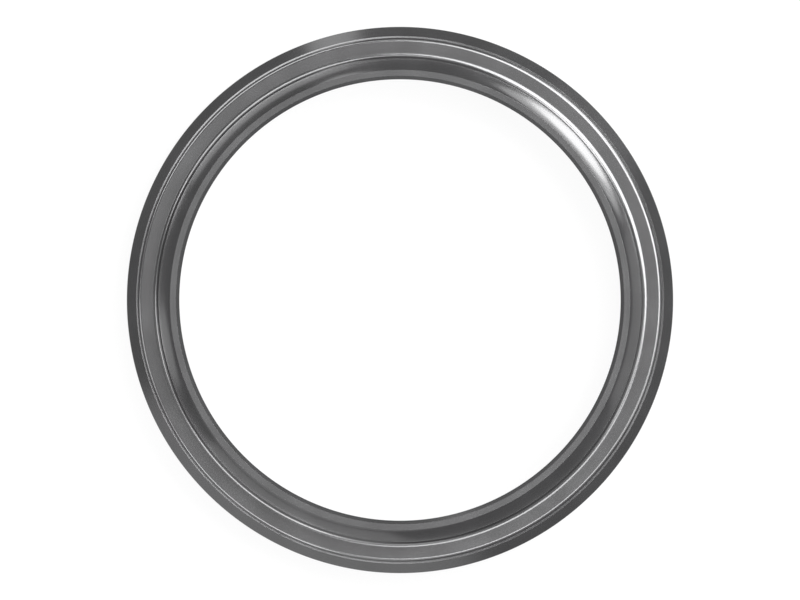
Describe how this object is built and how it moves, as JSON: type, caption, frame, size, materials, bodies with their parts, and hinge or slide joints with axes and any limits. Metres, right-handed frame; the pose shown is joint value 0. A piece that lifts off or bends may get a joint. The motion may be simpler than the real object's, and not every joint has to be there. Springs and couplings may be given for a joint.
{
  "type": "wiper seal",
  "caption": "Moulded ring seal for a sliding rod: a straight outer seat for its groove, a sloping flank, a flat front and a raised lip that wipes the rod clean.",
  "frame": {"origin": "centre of the flat back face, on the rod's axis", "axes": "+Z along the rod's axis, from the back face towards the wiping lip; +X to the right and +Y up in the picture"},
  "size_m": [0.06, 0.06, 0.01],
  "materials": {
    "elastomer": "moulded dark grey elastomer with a soft gloss"
  },
  "bodies": {
    "root": {"wiper_seal": "elastomer"}
  },
  "joints": []
}
